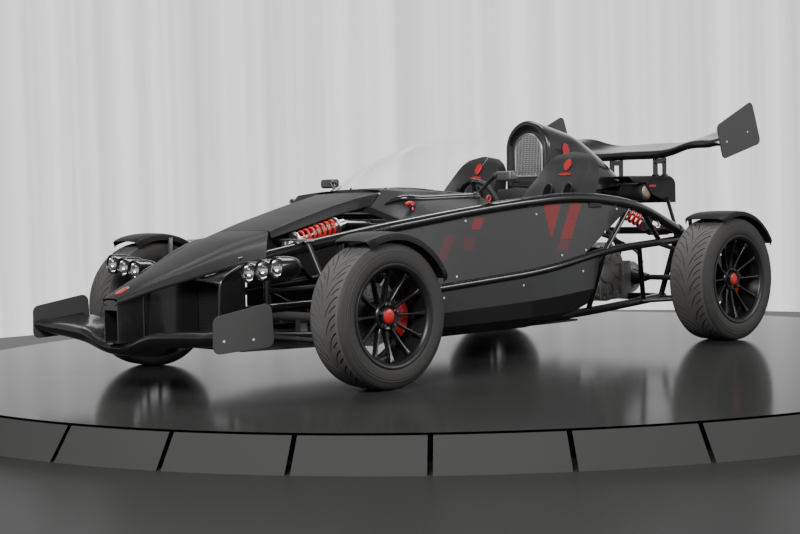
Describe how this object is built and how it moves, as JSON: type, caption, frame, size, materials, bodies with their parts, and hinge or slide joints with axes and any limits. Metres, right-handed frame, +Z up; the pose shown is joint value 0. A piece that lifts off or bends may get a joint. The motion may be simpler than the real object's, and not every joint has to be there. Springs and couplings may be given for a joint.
{
  "type": "exoskeleton track car",
  "caption": "Open-frame lightweight track car with bare tube sides, bucket seats, roof scoop, front and rear wings, cycle wings and steered front wheels.",
  "frame": {"origin": "centre of the footprint, on the ground", "axes": "+X points to the nose, +Y to the left side, +Z up"},
  "size_m": [3.6323, 1.807, 1.205],
  "materials": {
    "frame_black": "gloss",
    "body_grey": "satin",
    "body_black": "gloss",
    "tinted_panel": "gloss",
    "matte_black": "matte",
    "clear": "clear",
    "seat_shell": "satin",
    "alloy": "cast",
    "steel": "brushed",
    "stand_black": "satin",
    "red_paint": "gloss",
    "red_lens": "gloss",
    "wheel_black": "gloss",
    "tyre": "matte",
    "grip": "matte"
  },
  "bodies": {
    "chassis": {"side_frames": "frame_black", "crossmembers": "frame_black", "nose_cone": "body_grey", "scuttle": "body_grey", "intake_scoop": "body_grey", "tail_fairing": "body_grey", "front_wing": "body_black", "rear_wing": "body_black", "wing_endplates": "body_black", "rear_fenders": "body_black", "lower_panels": "body_black", "mirrors": "body_black", "headlamp_pods": "body_black", "side_panels": "tinted_panel", "floor_pan": "matte_black", "dashboard": "matte_black", "radiator": "matte_black", "windscreen": "clear", "headlamp_lenses": "clear", "seats": "seat_shell", "engine": "alloy", "rear_uprights": "alloy", "rack_housing": "alloy", "dampers": "alloy", "wishbones": "steel", "driveshafts": "steel", "exhaust": "steel", "intake_mesh": "steel", "rear_wing_stands": "stand_black", "springs": "red_paint", "tow_eyes": "red_paint", "tail_lamps": "red_lens"},
    "knuckle_left": {"knuckle_left": "alloy", "front_fender_left": "body_black"},
    "knuckle_right": {"knuckle_right": "alloy", "front_fender_right": "body_black"},
    "steering_rack": {"rack_rods": "steel"},
    "steering_wheel": {"steering_wheel": "grip"},
    "wheel_front_left": {"wheel_front_left": "wheel_black", "tyre_front_left": "tyre"},
    "wheel_front_right": {"wheel_front_right": "wheel_black", "tyre_front_right": "tyre"},
    "wheel_rear_left": {"wheel_rear_left": "wheel_black", "tyre_rear_left": "tyre"},
    "wheel_rear_right": {"wheel_rear_right": "wheel_black", "tyre_rear_right": "tyre"}
  },
  "joints": [
    {"name": "steer_left", "type": "hinge", "parent": "chassis", "child": "knuckle_left", "pos_m": [1.0962, 0.672, 0.29], "axis": [0, 0, 1], "range_deg": [-28, 28]},
    {"name": "steer_right", "type": "hinge", "parent": "chassis", "child": "knuckle_right", "pos_m": [1.0962, -0.672, 0.29], "axis": [0, 0, 1], "range_deg": [-28, 28]},
    {"name": "rack_slide", "type": "slide", "parent": "chassis", "child": "steering_rack", "axis": [0, 1, 0], "range_m": [-0.05386, 0.05386]},
    {"name": "column_turn", "type": "hinge", "parent": "chassis", "child": "steering_wheel", "pos_m": [-0.0238, 0.28, 0.7], "axis": [-0.974, 0, 0.2265], "range_deg": [-224, 224]},
    {"name": "roll_front_left", "type": "hinge", "parent": "knuckle_left", "child": "wheel_front_left", "pos_m": [1.0962, 0.7875, 0.288], "axis": [0, 1, 0], "continuous": true},
    {"name": "roll_front_right", "type": "hinge", "parent": "knuckle_right", "child": "wheel_front_right", "pos_m": [1.0962, -0.7875, 0.288], "axis": [0, 1, 0], "continuous": true},
    {"name": "roll_rear_left", "type": "hinge", "parent": "chassis", "child": "wheel_rear_left", "pos_m": [-1.2488, 0.78, 0.3045], "axis": [0, 1, 0], "continuous": true},
    {"name": "roll_rear_right", "type": "hinge", "parent": "chassis", "child": "wheel_rear_right", "pos_m": [-1.2488, -0.78, 0.3045], "axis": [0, 1, 0], "continuous": true}
  ],
  "couplings": [
    {"joint": "steer_right", "follows": "steer_left", "ratio": 1},
    {"joint": "rack_slide", "follows": "steer_left", "m_per_rad": -0.11},
    {"joint": "column_turn", "follows": "steer_left", "ratio": 8}
  ]
}
